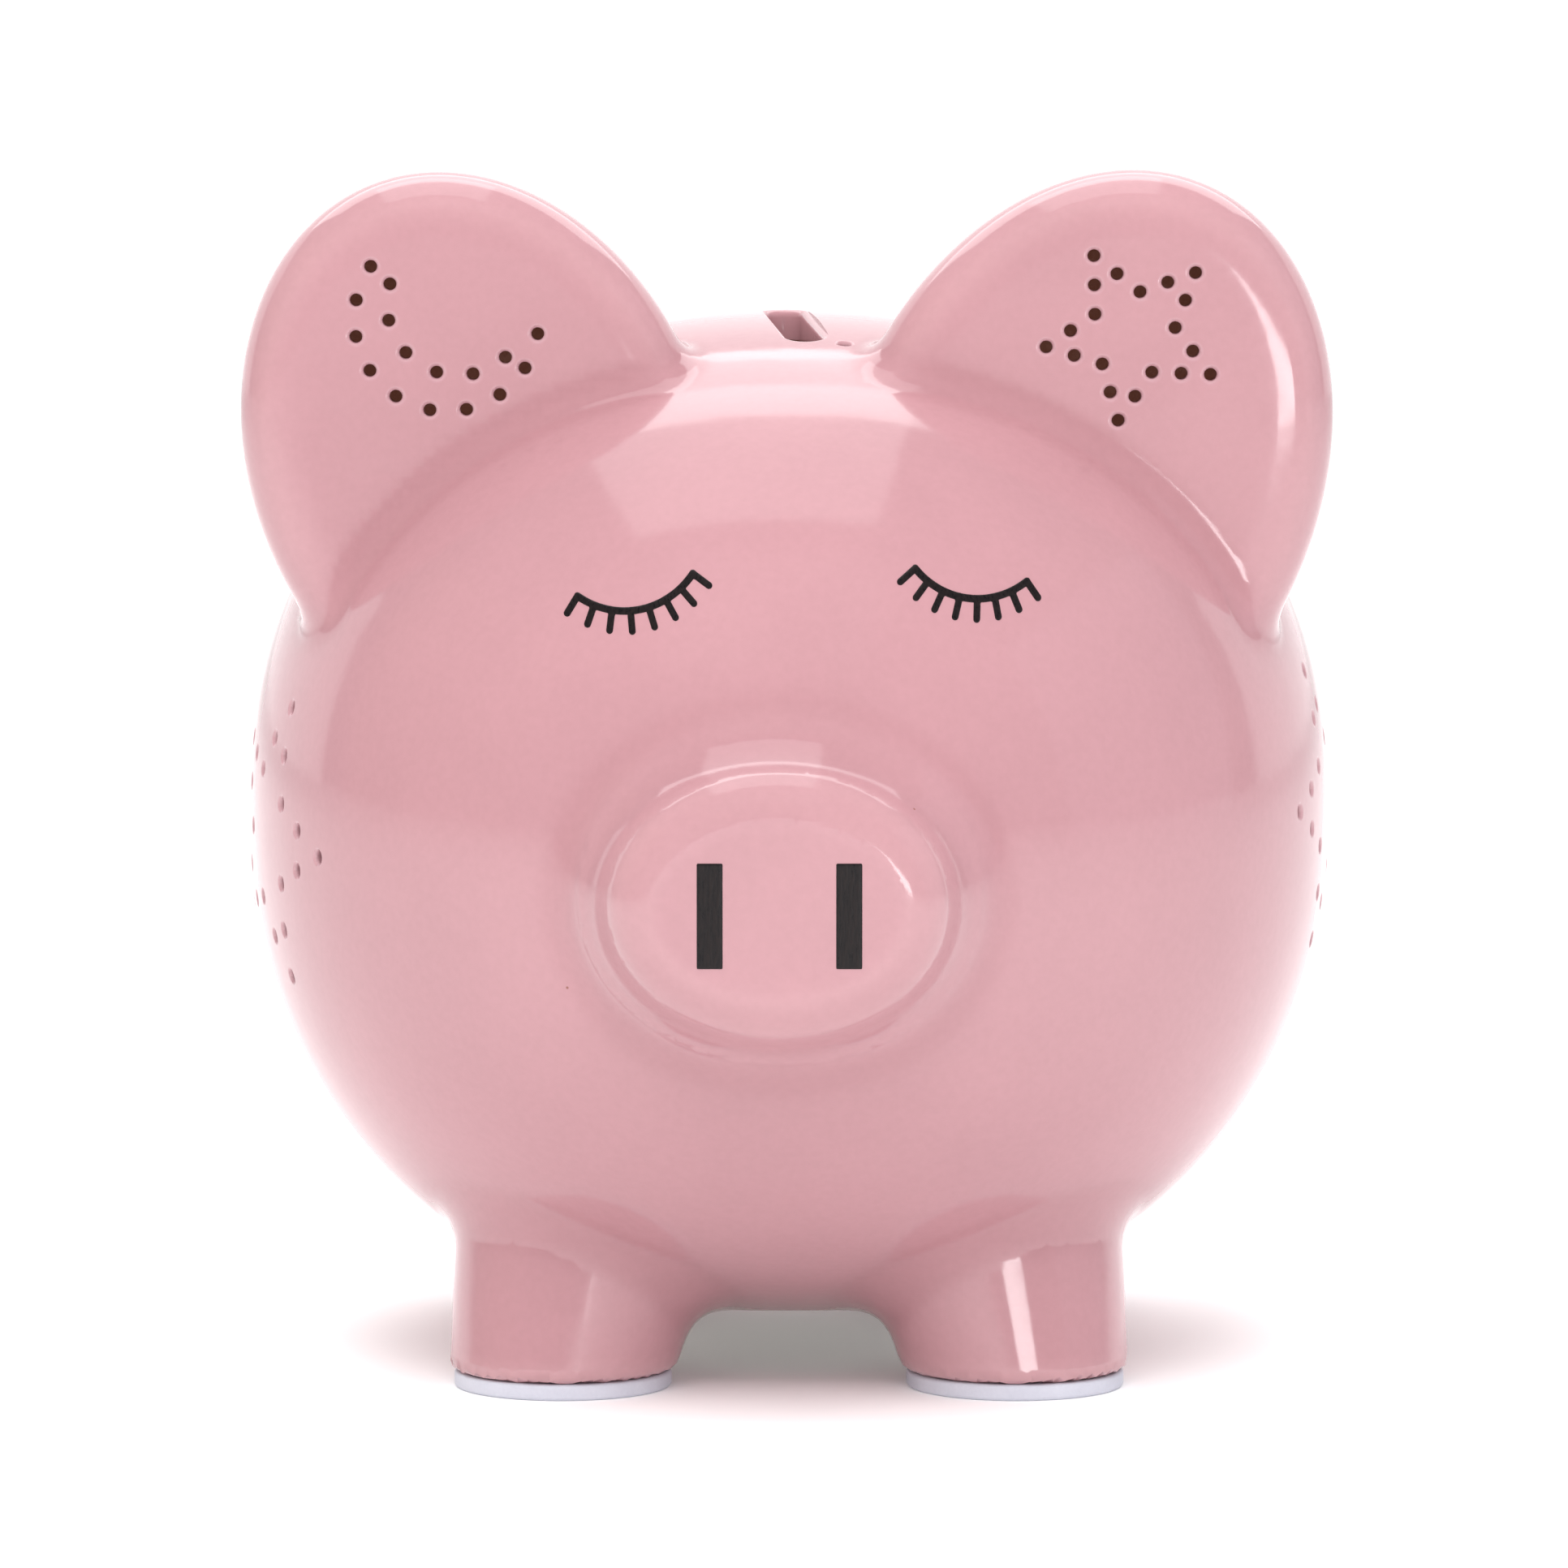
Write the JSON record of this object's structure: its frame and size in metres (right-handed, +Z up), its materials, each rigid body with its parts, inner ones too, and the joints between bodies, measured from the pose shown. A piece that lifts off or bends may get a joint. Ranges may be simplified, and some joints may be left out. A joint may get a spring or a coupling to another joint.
{
  "type": "coin bank",
  "caption": "Round ceramic pig coin bank with upright perforated ears, a crown slot, and a battery light unit that plugs the belly opening.",
  "frame": {"origin": "on the surface the pig stands on, below the middle of its bounding box", "axes": "+Z up, -Y the way the snout points, +X to the right of someone who looks at the face"},
  "size_m": [0.166, 0.2039, 0.1828],
  "materials": {
    "pink_glaze": "gloss",
    "pad_rubber": "matte",
    "white_plastic": "satin",
    "grey_silicone": "satin",
    "frosted_plastic": "satin",
    "circuit_board": "satin",
    "led_lens": "gloss",
    "black_plastic": "matte",
    "can_aluminium": "satin",
    "contact_metal": "polished",
    "screw_steel": "satin",
    "battery_wrap": "gloss"
  },
  "bodies": {
    "pig": {"ceramic_body": "pink_glaze", "foot_pad_front_left": "pad_rubber", "foot_pad_front_right": "pad_rubber", "foot_pad_rear_left": "pad_rubber", "foot_pad_rear_right": "pad_rubber"},
    "light_unit": {"light_housing": "white_plastic", "grip_ring": "grey_silicone", "diffuser_dome": "frosted_plastic", "contact_tray": "white_plastic", "circuit_board": "circuit_board", "led_1": "led_lens", "led_2": "led_lens", "led_3": "led_lens", "timer_chip": "black_plastic", "capacitor": "can_aluminium", "battery_1": "battery_wrap", "battery_2": "battery_wrap", "contact_spring_1": "contact_metal", "contact_spring_2": "contact_metal", "contact_plate_1": "contact_metal", "contact_plate_2": "contact_metal", "switch_body": "black_plastic", "board_screw_1": "screw_steel", "board_screw_2": "screw_steel"},
    "battery_door": {"battery_door": "white_plastic"},
    "door_screw": {"door_screw": "screw_steel"},
    "switch_knob": {"switch_knob": "black_plastic"}
  },
  "joints": [
    {"name": "light_unit_pull", "type": "slide", "parent": "pig", "child": "light_unit", "axis": [0, 0, -1], "range_m": [0, 0.045]},
    {"name": "battery_door_lift", "type": "slide", "parent": "light_unit", "child": "battery_door", "axis": [0, 0, -1], "range_m": [0, 0.012]},
    {"name": "door_screw_turn", "type": "hinge", "parent": "battery_door", "child": "door_screw", "pos_m": [0, 0.02775, 0.012], "axis": [0, 0, 1], "continuous": true},
    {"name": "switch_slide", "type": "slide", "parent": "light_unit", "child": "switch_knob", "axis": [0, 1, 0], "range_m": [0, 0.003]}
  ]
}
